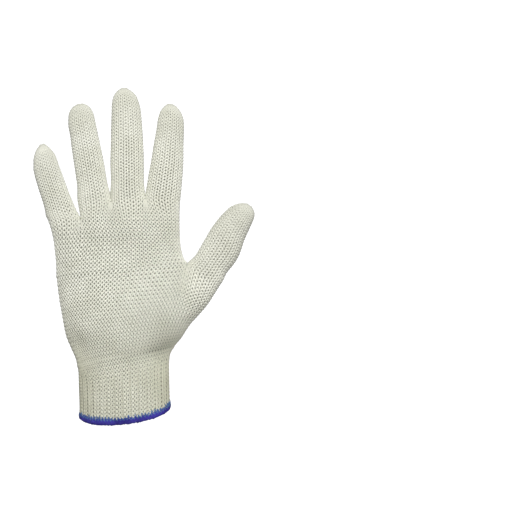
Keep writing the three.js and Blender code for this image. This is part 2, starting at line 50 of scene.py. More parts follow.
GLOVE_MIDDLE = (0.0, 0.0, 0.12)

scene = bpy.context.scene
scene.view_settings.view_transform = "Standard"
scene.view_settings.look = "None"

lens_data = bpy.data.cameras.new("photo_camera")
lens_data.sensor_width = SENSOR_WIDTH
lens_data.lens = SENSOR_WIDTH * CAMERA_DISTANCE / (FRAME_PIXELS * PIXEL)
lens_data.clip_end = 20.0
camera = bpy.data.objects.new("photo_camera", lens_data)
camera.location = (VIEW_CENTRE[0], -CAMERA_DISTANCE, VIEW_CENTRE[1])
camera.rotation_euler = (math.radians(90), 0, 0)
scene.collection.objects.link(camera)
scene.camera = camera


def material_of(name):
    """A new material with its nodes and its Principled shader."""
    material = bpy.data.materials.new(name)
    material.use_nodes = True
    nodes = material.node_tree.nodes
    return material, nodes, material.node_tree.links, nodes["Principled BSDF"]


def white_backdrop():
    """A glowing white panel, a little larger than the camera's view of it."""
    mesh = bpy.data.meshes.new("white_backdrop")
    corners = [(VIEW_CENTRE[0] + x * BACKDROP_HALF, BACKDROP_DISTANCE,
                VIEW_CENTRE[1] + z * BACKDROP_HALF)
               for x, z in ((-1, -1), (1, -1), (1, 1), (-1, 1))]
    mesh.from_pydata(corners, [], [(0, 1, 2, 3)])
    panel = bpy.data.objects.new("white_backdrop", mesh)
    scene.collection.objects.link(panel)
    material, _, _, shader = material_of("white_paper")
    shader.inputs["Base Color"].default_value = (0.8, 0.8, 0.8, 1)
    shader.inputs["Roughness"].default_value = 1.0
    shader.inputs["Emission Color"].default_value = (1, 1, 1, 1)
    shader.inputs["Emission Strength"].default_value = 1.0
    mesh.materials.append(material)
    return panel


white_backdrop()

world = bpy.data.worlds.new("studio")
world.use_nodes = True
world.node_tree.nodes["Background"].inputs["Color"].default_value = (1, 1, 1, 1)
world.node_tree.nodes["Background"].inputs["Strength"].default_value = 0.17
scene.world = world


def soft_box(name, place, size, power):
    """A large square lamp that looks at the middle of the glove."""
    lamp = bpy.data.lights.new(name, "AREA")
    lamp.size = size
    lamp.energy = power
    box = bpy.data.objects.new(name, lamp)
    box.location = place
    aim = np.array(GLOVE_MIDDLE) - np.array(place)
    fall = math.atan2(math.hypot(aim[0], aim[1]), -aim[2])
    turn = math.atan2(aim[1], aim[0]) - math.pi / 2
    box.rotation_euler = (fall, 0, turn)
    scene.collection.objects.link(box)


soft_box("key_light", (0.1, -0.98, 0.66), 0.6, 10.5)
soft_box("fill_light", (0.25, -1.5, -0.15), 1.0, 7.6)
soft_box("back_light", (0.1, 1.4, 0.3), 0.8, 10)

# Stalls: five knitted tubes of a soft, thick, undyed cotton yarn with a matt surface. Each is
# begun at the fingertip, where its first course is closed along a line, and is knitted round
# after round down to the crotch.
FIBRE_RELIEF = 0.15 * MM
SETTLING_COURSES = 7
TIP_SHARE = 0.7
BACK_DEPTH = 0.6 * MM
BACK_THICKNESS = 0.3 * MM
BACK_LAP = 0.5
random = np.random.default_rng(7)

# The points that one loop runs through, the sides round its yarn, and the cells that a field of
# points has to a course and to a wale.
LOOP_POINTS = 14
YARN_SIDES = 4
CELLS = 3


def noise_chain(nodes, links, vector, scale, detail):
    """Soft noise over the place in the glove."""
    noise = nodes.new("ShaderNodeTexNoise")
    noise.inputs["Scale"].default_value = scale
    noise.inputs["Detail"].default_value = detail
    links.new(vector, noise.inputs["Vector"])
    return noise.outputs["Fac"]


def mapped(nodes, links, value, low, high):
    """Spreads a value from 0.3..0.7 over low..high."""
    spread = nodes.new("ShaderNodeMapRange")
    spread.inputs["From Min"].default_value = 0.3
    spread.inputs["From Max"].default_value = 0.7
    spread.inputs["To Min"].default_value = low
    spread.inputs["To Max"].default_value = high
    links.new(value, spread.inputs["Value"])
    return spread.outputs["Result"]


def yarn_surface_group():
    """Twist and fibres of a thread. Its UV map runs in millimetres along it and once round.
    The cotton is painted warmer and darker towards the wrist, partly its own warmer tone and
    partly painted shade, most at the sides, where the round hand and cuff turn from the lamps.
    Painted shade also darkens it on the fingers, the thumb and the fingertips, and the crests
    of its ply are painted lighter than the grooves between them."""
    group = bpy.data.node_groups.new("thread_surface", "ShaderNodeTree")
    for name, way, kind in (
            ("UV", "INPUT", "Vector"), ("Place", "INPUT", "Vector"), ("Light", "INPUT", "Color"),
            ("Dark", "INPUT", "Color"), ("Turns", "INPUT", "Float"), ("WarmthAndShade", "INPUT", "Float"),
            ("PaintedShadeShare", "INPUT", "Float"), ("Color", "OUTPUT", "Color"),
            ("Height", "OUTPUT", "Float")):
        group.interface.new_socket(name, in_out=way, socket_type="NodeSocket" + kind)
    nodes, links = group.nodes, group.links
    given = nodes.new("NodeGroupInput")
    result = nodes.new("NodeGroupOutput")

    def parts_of(vector):
        node = nodes.new("ShaderNodeSeparateXYZ")
        links.new(vector, node.inputs["Vector"])
        return node.outputs

    def faded(value, start, stop, least):
        node = nodes.new("ShaderNodeMapRange")
        node.interpolation_type = "SMOOTHSTEP"
        node.inputs["From Min"].default_value = start
        node.inputs["From Max"].default_value = stop
        node.inputs["To Min"].default_value = least
        links.new(value, node.inputs["Value"])
        return node.outputs["Result"]

    def tinted(share, colour, tint):
        node = nodes.new("ShaderNodeMix")
        node.data_type = "RGBA"
        node.blend_type = "MULTIPLY"
        links.new(share, node.inputs["Factor"])
        links.new(colour, node.inputs["A"])
        node.inputs["B"].default_value = tint
        return node.outputs["Result"]

    def calc(operation, first, second=None):
        node = nodes.new("ShaderNodeMath")
        node.operation = operation
        for socket, value in zip(node.inputs, (first, second)):
            if isinstance(value, (int, float)):
                socket.default_value = value
            elif value is not None:
                links.new(value, socket)
        return node.outputs["Value"]

    thread = parts_of(given.outputs["UV"])
    phase = calc("ADD", calc("MULTIPLY", thread["X"], given.outputs["Turns"]), thread["Y"])
    ply = calc("ABSOLUTE", calc("SINE", calc("MULTIPLY", phase, 3 * math.pi)))
    fibres = noise_chain(nodes, links, given.outputs["Place"], 2600, 3)
    height = calc("ADD", calc("MULTIPLY", ply, 0.6), calc("MULTIPLY", fibres, 0.55))
    links.new(height, result.inputs["Height"])
    patches = noise_chain(nodes, links, given.outputs["Place"], 60, 3)
    specks = noise_chain(nodes, links, given.outputs["Place"], 900, 2)
    tone = calc("ADD", mapped(nodes, links, patches, 0.0, 0.55),
                mapped(nodes, links, specks, 0.0, 0.3))
    # Painted shade along the twist: the crests of the ply are painted lighter, the grooves
    # darker.
    tone = calc("ADD", tone, calc("MULTIPLY", ply, 0.25))
    plain = nodes.new("ShaderNodeMix")
    plain.data_type = "RGBA"
    plain.clamp_factor = True
    links.new(tone, plain.inputs["Factor"])
    links.new(given.outputs["Dark"], plain.inputs["A"])
    links.new(given.outputs["Light"], plain.inputs["B"])
    place = parts_of(given.outputs["Place"])
    # Painted shade, with a warmer tone: the tint grows towards the wrist, and it is strongest at
    # the sides of the lower hand and cuff, where they turn from the lamps.
    warm_tone_and_side_shade = calc("MULTIPLY", faded(place["Z"], 82 * MM, 22 * MM, 0),
                faded(calc("ABSOLUTE", place["X"]), 14 * MM, 34 * MM, 0.42))
    warm_and_shaded = tinted(calc("MULTIPLY", warm_tone_and_side_shade, given.outputs["WarmthAndShade"]), plain.outputs["Result"],
                  (0.75, 0.745, 0.65, 1))
    # Painted shade: the colour darkens by each loop's painted shade share.
    painted_shade = tinted(given.outputs["PaintedShadeShare"], warm_and_shaded, (0.76, 0.76, 0.74, 1))
    links.new(painted_shade, result.inputs["Color"])
    return group


thread_surface = yarn_surface_group()


def linear(red, green, blue):
    """A colour read in 0..255 as the shader's linear values."""
    def one(value):
        value /= 255
        return value / 12.92 if value <= 0.04045 else ((value + 0.055) / 1.055) ** 2.4
    return (one(red), one(green), one(blue), 1)


def thread_material(name, light, dark, bump, turns=0.45, warmth_and_shade=0.0, glossy=False):
    """Thread of a light and a dark tone, soft and matt, or glossy as sewing thread is."""
    material, nodes, links, shader = material_of(name)
    uv = nodes.new("ShaderNodeUVMap")
    uv.uv_map = "thread"
    place = nodes.new("ShaderNodeTexCoord")
    surface = nodes.new("ShaderNodeGroup")
    surface.node_tree = thread_surface
    surface.inputs["Light"].default_value = light
    surface.inputs["Dark"].default_value = dark
    surface.inputs["Turns"].default_value = turns
    surface.inputs["WarmthAndShade"].default_value = warmth_and_shade
    links.new(uv.outputs["UV"], surface.inputs["UV"])
    links.new(place.outputs["Object"], surface.inputs["Place"])
    painted_shade_share = nodes.new("ShaderNodeAttribute")
    painted_shade_share.attribute_name = "painted_shade_share"
    links.new(painted_shade_share.outputs["Fac"], surface.inputs["PaintedShadeShare"])
    links.new(surface.outputs["Color"], shader.inputs["Base Color"])
    raise_fibres = nodes.new("ShaderNodeBump")
    raise_fibres.inputs["Strength"].default_value = bump
    raise_fibres.inputs["Distance"].default_value = FIBRE_RELIEF
    links.new(surface.outputs["Height"], raise_fibres.inputs["Height"])
    links.new(raise_fibres.outputs["Normal"], shader.inputs["Normal"])
    shader.inputs["Roughness"].default_value = 0.5 if glossy else 0.95
    shader.inputs["Specular IOR Level"].default_value = 0.4 if glossy else 0.15
    shader.inputs["Sheen Weight"].default_value = 0.0 if glossy else 0.25
    shader.inputs["Sheen Roughness"].default_value = 0.6
    return material


cotton = thread_material("undyed_cotton", linear(245, 245, 234), linear(222, 222, 206), 0.6,
                         warmth_and_shade=1.0)
# Painted shade: the backs of the loops are the same undyed cotton, painted much darker for the
# shade inside the glove that shows through the knit.
cotton_back_painted_shade = thread_material("shaded_cotton_back", linear(156, 157, 140),
                              linear(126, 127, 112), 0.6, warmth_and_shade=1.0)


def mix(a, b, share):
    """From a at share 0 to b at share 1."""
    return a + (b - a) * share


def ease(share):
    """A soft start and stop between 0 and 1."""
    share = np.clip(share, 0, 1)
    return share * share * (3 - 2 * share)


def bilinear(field, rows, columns):
    """Values of a field at places given in its cells. Its columns close on themselves, and
    beyond its first and last row it runs straight on."""
    count = field.shape[1]
    r = np.clip(np.floor(rows).astype(int), 0, field.shape[0] - 2)
    fr = (rows - r)[..., None]
    c = np.floor(columns).astype(int)
    fc = (columns - c)[..., None]
    c0, c1 = c % count, (c + 1) % count
    upper = field[r, c0] * (1 - fc) + field[r, c1] * fc
    lower = field[r + 1, c0] * (1 - fc) + field[r + 1, c1] * fc
    return upper * (1 - fr) + lower * fr


def unit(vectors):
    """The vectors at length 1."""
    return vectors / np.maximum(np.linalg.norm(vectors, axis=-1, keepdims=True), 1e-12)


def normals_of(field, middle):
    """Outward normals of a closed field of points."""
    across = np.roll(field, -1, axis=1) - np.roll(field, 1, axis=1)
    down = np.gradient(field, axis=0)
    normal = unit(np.cross(across, down))
    away = field - middle
    return normal if (normal * away).sum() > 0 else -normal


def thread_mesh(name, paths, normals, radii, material, closed=True, flat=1.0):
    """One mesh of threads: paths is (threads, points, 3), radii (threads, points). flat makes
    them broader along the cloth than across it."""
    threads, points, _ = paths.shape
    flat = np.asarray(flat)[..., None, None]
    if closed:
        forward = np.roll(paths, -1, axis=1) - np.roll(paths, 1, axis=1)
        steps = np.linalg.norm(np.roll(paths, -1, axis=1) - paths, axis=2)
    else:
        forward = np.gradient(paths, axis=1)
        steps = np.linalg.norm(np.diff(paths, axis=1, append=paths[:, -1:]), axis=2)
    tangent = unit(forward)
    side = unit(np.cross(tangent, normals))
    up = np.cross(side, tangent)
    angles = 2 * np.pi * np.arange(YARN_SIDES) / YARN_SIDES
    offset = (np.cos(angles)[:, None] * up[:, :, None, :]
              + flat * np.sin(angles)[:, None] * side[:, :, None, :])
    corners = paths[:, :, None, :] + offset * radii[:, :, None, None]
    if not closed:
        corners[:, 0] = paths[:, :1]
        corners[:, -1] = paths[:, -1:]
    corners = corners.reshape(-1, 3)
    t, p, s = np.meshgrid(np.arange(threads), np.arange(points if closed else points - 1),
                          np.arange(YARN_SIDES), indexing="ij")
    next_p, next_s = (p + 1) % points, (s + 1) % YARN_SIDES

    def corner(point, side_index):
        return ((t * points + point) * YARN_SIDES + side_index).ravel()

    faces = np.stack([corner(p, s), corner(next_p, s), corner(next_p, next_s),
                      corner(p, next_s)], axis=1)
    mesh = bpy.data.meshes.new(name)
    mesh.vertices.add(len(corners))
    mesh.vertices.foreach_set("co", corners.astype(np.float32).ravel())
    mesh.loops.add(faces.size)
    mesh.loops.foreach_set("vertex_index", faces.astype(np.int32).ravel())
    mesh.polygons.add(len(faces))
    mesh.polygons.foreach_set("loop_start", np.arange(0, faces.size, 4, dtype=np.int32))
    mesh.update(calc_edges=True)
    length = np.concatenate([np.zeros((threads, 1)), np.cumsum(steps, axis=1)], axis=1)
    length = length / MM
    start, stop = length[t, p].ravel(), length[t, p + 1].ravel()
    round_start, round_stop = s.ravel() / YARN_SIDES, (s.ravel() + 1) / YARN_SIDES
    uv = np.stack([np.stack([start, round_start], 1), np.stack([stop, round_start], 1),
                   np.stack([stop, round_stop], 1), np.stack([start, round_stop], 1)], axis=1)
    layer = mesh.uv_layers.new(name="thread")
    layer.uv.foreach_set("vector", uv.astype(np.float32).ravel())
    mesh.shade_smooth()
    if not closed:
        mesh.validate()
    mesh.materials.append(material)
    piece = bpy.data.objects.new(name, mesh)
    scene.collection.objects.link(piece)
    return piece


def knitted(name, field, wales, courses, node, gauge):
    """Knitting over a closed field of points, whose rows run from the first course to the last
    and have CELLS cells to a course and to a wale. Wales that the gauge marks as purl show the
    back of their loops. At a closed tip the loops lie flatter and closer. A gauge that comes
    after another takes over from it within a few courses."""
    closed_tip = "closed_tip" in gauge
    normal = normals_of(field, field.reshape(-1, 3).mean(axis=0))
    phase = np.arange(LOOP_POINTS) / LOOP_POINTS
    angle = 2 * np.pi * phase
    course = np.arange(*courses)[:, None, None]
    shape = (course.shape[0], wales, LOOP_POINTS)
    wander = random.normal(0, 1, (3,) + shape[:2])[..., None]
    settled = ease((course + gauge.get("grown", 0)) / SETTLING_COURSES)

    def sized(key):
        return np.broadcast_to(mix(gauge.get("after", gauge)[key], gauge[key], settled), shape)

    wide = sized("overlap") * (1 + 0.06 * wander[0])
    tall = sized("tall") * (1 + 0.04 * wander[1])
    wale = np.arange(wales)[:, None] + phase + wide * np.sin(2 * angle)
    row = course + 0.5 - tall * np.cos(angle) + 0.02 * wander[2]
    if closed_tip:
        row = np.maximum(row, 0.03)
    places = wale.reshape(shape[0], -1) * CELLS
    levels = np.broadcast_to(row, shape).reshape(shape[0], -1) * CELLS
    here = bilinear(field, levels, places)
    out = unit(bilinear(normal, levels, places))
    beside = bilinear(field, levels, places + 1.5) - bilinear(field, levels, places - 1.5)
    size = (np.linalg.norm(beside, axis=-1) / sized("wale").reshape(shape[0], -1)) ** 1.1
    size = np.clip(size, 0.45, gauge["most"])
    purl = np.isin(np.arange(wales) % 3, gauge.get("purl", []))
    side = np.where(purl & (course[:, :, 0] >= gauge.get("purl_from", 0)), -1.0, 1.0)
    foot = np.maximum(np.cos(angle), 0) ** 2
    turned = (side[..., None] * np.cos(2 * angle)
              + (np.roll(side, 1, axis=1) - side)[..., None] / 2 * foot * (phase < 0.5)
              + (np.roll(side, -1, axis=1) - side)[..., None] / 2 * foot * (phase >= 0.5))
    smooth = (1 - ease(course / (TIP_SHARE * shape[0])))[:, :, 0] * closed_tip
    lift = -(sized("depth") * turned).reshape(shape[0], -1) * size
    lift = lift * (1 - 0.35 * smooth)
    least = 0.78 if closed_tip else 0.67
    radii = sized("yarn").reshape(shape[0], -1) * np.maximum(size, least)
    radii = radii * (1 + 0.05 * np.sin(places * 1.7 + levels * 2.3))
    piece = thread_mesh(name, here + out * lift[..., None], out, radii, gauge["cotton"],
                        flat=gauge["flat"] + 0.4 * smooth)
    # Painted shade: the yarn is darkened by the gauge's share, more over the smooth part of a
    # closed tip and most in its first courses, so that the fingertips look greyer.
    painted_shade_share = sized("painted_shade").reshape(shape[0], -1) + 0.4 * smooth
    painted_shade_share = painted_shade_share + 0.5 * np.clip(1 - levels / (2.5 * CELLS), 0, 1) * closed_tip
    layer = piece.data.attributes.new("painted_shade_share", "FLOAT", "POINT")
    layer.data.foreach_set("value", np.repeat(painted_shade_share.ravel(), YARN_SIDES).astype(np.float32))
    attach(piece, "root")
    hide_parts(node)


def cloth_back(name, field, rows, node, lap_above=BACK_LAP):
    """The inner face of the cloth, where the backs of the loops lie close and matted: one face
    to a loop, with a small thickness, in cotton painted dark for the shade inside the glove. It
    laps under the sections above and below it."""
    normal = normals_of(field, field.reshape(-1, 3).mean(axis=0))
    inner = field - normal * BACK_DEPTH
    inner = inner[rows[0] * CELLS:rows[1] * CELLS + 1:CELLS, ::CELLS]
    above = inner[:1] + lap_above * (inner[:1] - inner[1:2])
    below = inner[-1:] + BACK_LAP * (inner[-1:] - inner[-2:-1])
    inner = np.concatenate([above, inner, below])
    rounds, count, _ = inner.shape
    row, column = np.meshgrid(np.arange(rounds - 1), np.arange(count), indexing="ij")
    beside = (column + 1) % count
    faces = np.stack([row * count + column, (row + 1) * count + column,
                      (row + 1) * count + beside, row * count + beside], axis=-1).reshape(-1, 4)
    middle = inner.mean(axis=(0, 1))
    first = inner[rounds // 2]
    cross = np.cross(inner[rounds // 2 + 1, 0] - first[0], first[1] - first[0])
    if cross @ (first[0] - middle) < 0:
        faces = faces[:, ::-1]
    mesh = bpy.data.meshes.new(name)
    mesh.from_pydata(inner.reshape(-1, 3).tolist(), [], faces.tolist())
    layer = mesh.uv_layers.new(name="thread")
    corner = faces.ravel()
    uv = np.stack([corner % count * 2.6, corner // count * 2.4], axis=1)
    layer.uv.foreach_set("vector", uv.astype(np.float32).ravel())
    mesh.shade_smooth()
    mesh.materials.append(cotton_back_painted_shade)
    piece = bpy.data.objects.new(name, mesh)
    scene.collection.objects.link(piece)
    thickness = piece.modifiers.new("thickness", "SOLIDIFY")
    thickness.thickness = BACK_THICKNESS
    thickness.offset = -1
    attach(piece, "root")
    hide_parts(node)


FABRIC_MIDDLE = 0.95 * MM
FINGER_WALES = 9
FINGER_COURSE = 2.2 * MM
ROW_SLANT = 0.13
PALM_WIDTH = 89 * MM
PALM_DEPTH = 28 * MM
HAND_LENGTH = 100 * MM
CUFF_TOP = 43.7 * MM


def at(across, up):
    """A place in the plane of the hand, from shares of its width and length."""
    return np.array([across * PALM_WIDTH, CUFF_TOP + up * HAND_LENGTH])


LITTLE_OUTER = at(-0.606, 0.933)
LITTLE_RING = at(-0.354, 0.944)
RING_OUTER = at(-0.371, 1.066)
RING_MIDDLE = at(-0.110, 1.065)
MIDDLE_INDEX = at(0.161, 1.086)
INDEX_OUTER = at(0.436, 1.071)
INDEX_THUMB = at(0.502, 0.626)
THUMB_OUTER = at(0.747, 0.468)
THUMB_FORWARD = -0.20 * PALM_DEPTH


def table(columns, rows):
    """Rows of numbers as arrays under their column names."""
    return {name: np.array([row[i] for row in rows]) for i, name in enumerate(columns.split())}


# Each row of a stall says, at a share of its length up from the crotch, how far its middle is
# shifted aside and how wide and deep it is, as shares of the stall's own width and depth.
STALL_COLUMNS = "up shift wide deep"
stalls = {
    "little_finger": {
        "left": LITTLE_OUTER, "right": LITTLE_RING, "tip": at(-0.651, 1.479),
        "width": 21.3 * MM, "depth": 18.6 * MM, "forward": 0.14, "tip_from": 0.72,
        "rows": table(STALL_COLUMNS, [
            (0.05, -0.042, 1.000, 1.00), (0.15, -0.050, 0.998, 0.99),
            (0.30, -0.066, 0.956, 0.96), (0.50, -0.090, 0.938, 0.91),
            (0.70, -0.098, 0.900, 0.85), (0.80, -0.068, 0.824, 0.82),
            (0.85, -0.058, 0.763, 0.80), (0.90, -0.050, 0.640, 0.79),
            (0.93, -0.038, 0.545, 0.78), (0.96, -0.028, 0.420, 0.77),
            (0.98, -0.014, 0.310, 0.76), (1.00, -0.004, 0.210, 0.76)])},
    "ring_finger": {
        "left": RING_OUTER, "right": RING_MIDDLE, "tip": at(-0.348, 1.763),
        "width": 22.1 * MM, "depth": 20.0 * MM, "forward": 0.13, "tip_from": 0.80,
        "rows": table(STALL_COLUMNS, [
            (0.05, 0.004, 1.010, 1.00), (0.20, 0.002, 0.985, 0.98),
            (0.40, -0.006, 0.972, 0.94), (0.60, -0.023, 0.941, 0.89),
            (0.70, -0.028, 0.915, 0.86), (0.80, -0.041, 0.910, 0.83),
            (0.89, -0.028, 0.846, 0.80), (0.925, -0.028, 0.775, 0.79),
            (0.955, -0.016, 0.670, 0.78), (0.98, -0.012, 0.490, 0.77),
            (1.00, 0.000, 0.220, 0.76)])},
    "middle_finger": {
        "left": RING_MIDDLE, "right": MIDDLE_INDEX, "tip": at(0.001, 1.875),
        "width": 24.1 * MM, "depth": 20.6 * MM, "forward": 0.12, "tip_from": 0.79,
        "rows": table(STALL_COLUMNS, [
            (0.10, -0.011, 0.973, 1.00), (0.20, -0.002, 0.982, 0.99),
            (0.35, 0.006, 1.000, 0.96), (0.50, 0.022, 0.975, 0.92),
            (0.70, 0.032, 0.925, 0.86), (0.80, 0.035, 0.886, 0.83),
            (0.85, 0.027, 0.850, 0.81), (0.90, 0.017, 0.775, 0.80),
            (0.93, 0.013, 0.705, 0.79), (0.96, 0.002, 0.560, 0.78),
            (0.98, -0.008, 0.400, 0.77), (1.00, 0.000, 0.190, 0.76)])},
    "index_finger": {
        "left": MIDDLE_INDEX, "right": INDEX_OUTER, "tip": at(0.367, 1.762),
        "width": 25.1 * MM, "depth": 20.4 * MM, "forward": 0.14, "tip_from": 0.76,
        "rows": table(STALL_COLUMNS, [
            (0.05, 0.008, 0.990, 1.00), (0.20, 0.026, 0.985, 0.98),
            (0.30, 0.036, 0.962, 0.96), (0.40, 0.048, 0.930, 0.94),
            (0.60, 0.050, 0.855, 0.88), (0.74, 0.060, 0.803, 0.84),
            (0.84, 0.054, 0.765, 0.81), (0.89, 0.048, 0.691, 0.80),
            (0.925, 0.036, 0.610, 0.79), (0.955, 0.028, 0.490, 0.78),
            (0.98, 0.024, 0.360, 0.76), (1.00, 0.000, 0.170, 0.75)])},
    "thumb": {
        "left": INDEX_THUMB, "right": THUMB_OUTER, "tip": at(1.000, 1.047),
        "width": 27.4 * MM, "depth": 23.6 * MM, "forward": 0.20, "tip_from": 0.74,
        "rows": table(STALL_COLUMNS, [
            (0.05, 0.020, 0.950, 1.00), (0.10, 0.021, 0.920, 0.99),
            (0.20, 0.016, 0.936, 0.98), (0.30, 0.019, 0.978, 0.96),
            (0.40, 0.013, 0.990, 0.94), (0.50, -0.013, 0.965, 0.91),
            (0.60, -0.042, 0.901, 0.88), (0.70, -0.052, 0.847, 0.84),
            (0.80, -0.046, 0.772, 0.81), (0.85, -0.042, 0.735, 0.79),
            (0.90, -0.024, 0.655, 0.78), (0.94, -0.008, 0.550, 0.76),
            (0.97, 0.000, 0.420, 0.74), (1.00, 0.000, 0.190, 0.72)])},
}


def chord_y(point):
    """How far forward the two sides of a stall's base lie."""
    if point is THUMB_OUTER:
        return THUMB_FORWARD
    if point is INDEX_THUMB:
        return 0.22 * THUMB_FORWARD
    return -0.03 * PALM_DEPTH * abs(point[0] - MIDDLE_INDEX[0] / 2) / (0.25 * PALM_WIDTH)


def base_of(stall):
    """The oval on which a stall stands."""
    run = stall["right"] - stall["left"]
    length = np.linalg.norm(run)
    return {"middle": (stall["left"] + stall["right"]) / 2, "across": run / length,
            "half": length / 2 - 0.35 * FABRIC_MIDDLE,
            "depth": stall["depth"] / 2 - FABRIC_MIDDLE,
            "y_left": chord_y(stall["left"]), "y_right": chord_y(stall["right"])}


def value_at(rows, key, column, place):
    """Smooth value of a column at places along the key column."""
    keys, values = rows[key], rows[column]
    place = np.clip(place, keys[0], keys[-1])
    i = np.clip(np.searchsorted(keys, place, side="right") - 1, 0, len(keys) - 2)
    before, after = np.maximum(i - 1, 0), np.minimum(i + 2, len(keys) - 1)
    span = keys[i + 1] - keys[i]
    start = (values[i + 1] - values[before]) / (keys[i + 1] - keys[before])
    end = (values[after] - values[i]) / (keys[after] - keys[i])
    s = (place - keys[i]) / span
    return (values[i] * (2 * s**3 - 3 * s**2 + 1) + values[i + 1] * (3 * s**2 - 2 * s**3)
            + span * (start * (s**3 - 2 * s**2 + s) + end * (s**3 - s**2)))


def stall_points(stall, turn, up):
    """Points of a stall: turn 0 to 1 runs over the palm side, 1 to 2 back over the back."""
    base = base_of(stall)
    run = stall["tip"] - base["middle"]
    full = np.linalg.norm(run)
    axis = run / full
    square = np.array([axis[1], -axis[0]])
    rows = stall["rows"]
    shift = value_at(rows, "up", "shift", up) * stall["width"] * ease(up / 0.1)
    late = np.clip((up - stall["tip_from"]) / (1 - stall["tip_from"]), 0, 1)
    wide = value_at(rows, "up", "wide", up) * stall["width"] / 2 - FABRIC_MIDDLE
    wide = np.maximum(wide, 0.5 * MM)
    deep = value_at(rows, "up", "deep", up) * stall["depth"] / 2 - FABRIC_MIDDLE
    deep = deep * np.sqrt(1 - late * late)
    turned = ease(up / 0.2)
    half = mix(base["half"], wide, turned)
    direction = mix(base["across"], square, turned[..., None])
    direction = direction / np.linalg.norm(direction, axis=-1, keepdims=True)
    angle = np.pi * (1 - turn)
    across = np.cos(angle) * half
    flat = (base["middle"] + axis * (up * (full - 1.5 * FABRIC_MIDDLE))[..., None]
            + square * shift[..., None] + direction * across[..., None])
    depth = mix(base["depth"], deep, turned)
    centre = (base["y_left"] + base["y_right"]) / 2
    chord = mix(mix(base["y_left"], base["y_right"], (np.cos(angle) + 1) / 2), centre, turned)
    y = chord - stall["forward"] * full * up**1.6 - np.sin(angle) * depth
    return np.stack([flat[..., 0], y, flat[..., 1]], axis=-1)


def stall_field(stall):
    """A stall as a field of points, tip first, with its courses evenly spaced along it."""
    up = 1 - np.linspace(0, 1, 301) ** 2
    lengths = np.zeros(len(up) - 1)
    for turn in (0.0, 0.5, 1.0, 1.5):
        line = stall_points(stall, np.full(len(up), turn), up)
        lengths += np.linalg.norm(np.diff(line, axis=0), axis=1) / 4
    run = np.concatenate([[0], np.cumsum(lengths)])
    rounds = int(round(run[-1] / FINGER_COURSE))
    level = np.interp(np.linspace(0, run[-1], rounds * CELLS + 1), run, up)
    count = 2 * FINGER_WALES * CELLS
    turn, level = np.meshgrid(2 * np.arange(count) / count, level)
    slant = ROW_SLANT * stall["width"] / np.linalg.norm(stall["tip"] - base_of(stall)["middle"])
    level = level - slant / 2 * np.cos(np.pi * turn) * ease(level / 0.2) * ease((1 - level) / 0.2)
    return stall_points(stall, turn, level), rounds


# A gauge gives a loop's width and the depth it stands out, the radius of its yarn, how far it
# overlaps the next wale and the next course, the most that it grows where the cloth is wider,
# how flat its yarn is, and how much painted shade darkens its yarn.
finger_gauge = {"wale": 3.2 * MM, "depth": 0.44 * MM, "yarn": 0.55 * MM, "overlap": 0.24,
                "tall": 0.70, "most": 1.15, "flat": 1.15, "painted_shade": 0.28, "closed_tip": True,
                "cotton": cotton}
thumb_gauge = dict(finger_gauge, most=1.22, depth=0.38 * MM, flat=1.3, painted_shade=0.5)
for stall_name, stall in stalls.items():
    field, rounds = stall_field(stall)
    knitted("knit_" + stall_name, field, 2 * FINGER_WALES, (0, rounds),
            stall_name, thumb_gauge if stall_name == "thumb" else finger_gauge)
    cloth_back("back_" + stall_name, field, (0, rounds), stall_name, lap_above=0)

# Hand: one tube of the same cotton yarn. The stalls are joined to it on the machine one after
# another, so it grows in three steps: under three fingers, under four, and under the thumb as
# well, down to the wrist.
INDEX_SIDE = at(0.438, 0.949)
FAR_EDGE = at(-0.553, 0.603)
FINGER_WEB = 9 * MM
THUMB_WEB = 22 * MM
ROW_SAG = 8 * MM
WRIST_SAG = 6 * MM

# Each step has its corners, the roundness of its crotches, its height, how far its wales lean
# towards the far edge and gather at the sides, its two edges from the top down, and the rings
# that stand on it, each with its share of the width.
EDGE_COLUMNS = "down left right"
three_part = {
    "top": [RING_OUTER, RING_MIDDLE, MIDDLE_INDEX, INDEX_OUTER],
    "bottom": [LITTLE_RING, INDEX_SIDE], "web": FINGER_WEB, "height": 12 * MM,
    "lean": 0.0, "gather": 0.0,
    "edges": table(EDGE_COLUMNS, [
        (0.0, RING_OUTER[0], INDEX_OUTER[0]), (1.0, LITTLE_RING[0], INDEX_SIDE[0])]),
    "rings": [("ring_finger", 0, 1 / 3), ("middle_finger", 1 / 3, 2 / 3),
              ("index_finger", 2 / 3, 1)], "courses": 5}
four_part = {
    "top": [LITTLE_OUTER, LITTLE_RING, INDEX_SIDE],
    "bottom": [FAR_EDGE, INDEX_THUMB], "web": FINGER_WEB, "height": 33 * MM,
    "lean": 0.04, "gather": 0.10,
    "edges": table(EDGE_COLUMNS, [
        (down, left * PALM_WIDTH, right * PALM_WIDTH) for down, left, right in [
            (0.00, -0.606, 0.438), (0.20, -0.584, 0.439), (0.40, -0.570, 0.442),
            (0.63, -0.562, 0.450), (0.82, -0.556, 0.464), (0.91, -0.554, 0.478),
            (1.00, -0.553, 0.502)]]),
    "rings": [("little_finger", 0, 0.25), (three_part, 0.25, 1)], "courses": 13}
